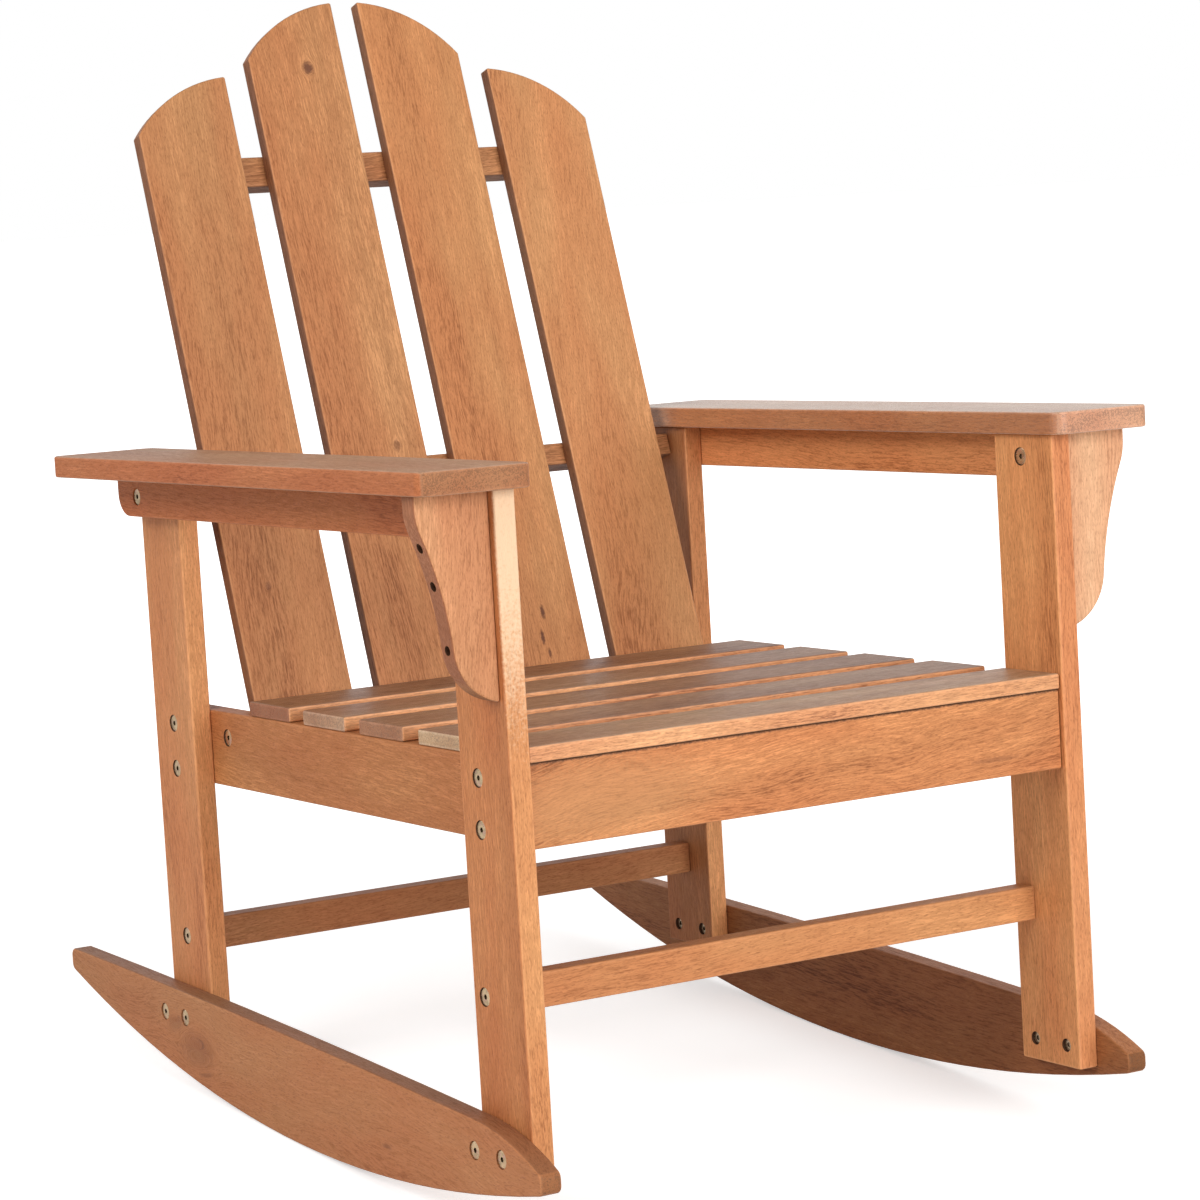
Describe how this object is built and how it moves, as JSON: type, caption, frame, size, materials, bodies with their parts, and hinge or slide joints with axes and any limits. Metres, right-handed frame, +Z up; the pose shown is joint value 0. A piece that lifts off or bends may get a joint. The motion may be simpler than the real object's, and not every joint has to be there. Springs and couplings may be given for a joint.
{
  "type": "rocking adirondack chair",
  "caption": "Rocking garden armchair of flat wooden boards with a slatted seat, a tall arched slat back, wide armrests on curved brackets and arc shaped runners.",
  "frame": {"origin": "middle of the outline's footprint, on the floor that the runners stand on", "axes": "+X to the right of somebody who stands before the chair and faces it, +Y from the front of the chair to its back, +Z up; the chair is at the lean at which it balances when empty"},
  "size_m": [0.704, 0.8636, 0.961],
  "materials": {
    "frame_wood": "oiled, satin",
    "back_wood": "oiled, satin",
    "seat_wood": "oiled, satin",
    "rail_wood": "oiled, satin",
    "arm_wood": "oiled, satin",
    "rocker_wood": "oiled, satin",
    "bolt_steel": "yellow zinc plated",
    "nut_steel": "yellow zinc plated, in a dark recess",
    "screw_steel": "dull plated"
  },
  "bodies": {
    "root": {"apron": "frame_wood", "arm_bolts": "bolt_steel", "arm_bracket_left": "arm_wood", "arm_bracket_right": "arm_wood", "arm_rail_left": "arm_wood", "arm_rail_right": "arm_wood", "armrest_left": "arm_wood", "armrest_right": "arm_wood", "back_rail_lower": "rail_wood", "back_rail_lower_screws": "screw_steel", "back_rail_middle": "rail_wood", "back_rail_middle_screws": "screw_steel", "back_rail_upper": "rail_wood", "back_rail_upper_screws": "screw_steel", "back_slat_1": "back_wood", "back_slat_2": "back_wood", "back_slat_3": "back_wood", "back_slat_4": "back_wood", "barrel_nuts": "nut_steel", "bracket_screws": "screw_steel", "leg_front_left": "frame_wood", "leg_front_right": "frame_wood", "leg_rear_left": "frame_wood", "leg_rear_right": "frame_wood", "lower_back_bolts": "bolt_steel", "middle_back_bolts": "bolt_steel", "rocker_bolts": "bolt_steel", "rocker_left": "rocker_wood", "rocker_right": "rocker_wood", "seat_bolts": "bolt_steel", "seat_rail_left": "frame_wood", "seat_rail_right": "frame_wood", "seat_slat_1": "seat_wood", "seat_slat_2": "seat_wood", "seat_slat_3": "seat_wood", "seat_slat_4": "seat_wood", "seat_slat_5": "seat_wood", "sleeve_nuts": "nut_steel", "stretcher_bolts": "frame_wood", "stretcher_front": "frame_wood", "stretcher_rear": "frame_wood"}
  },
  "joints": []
}
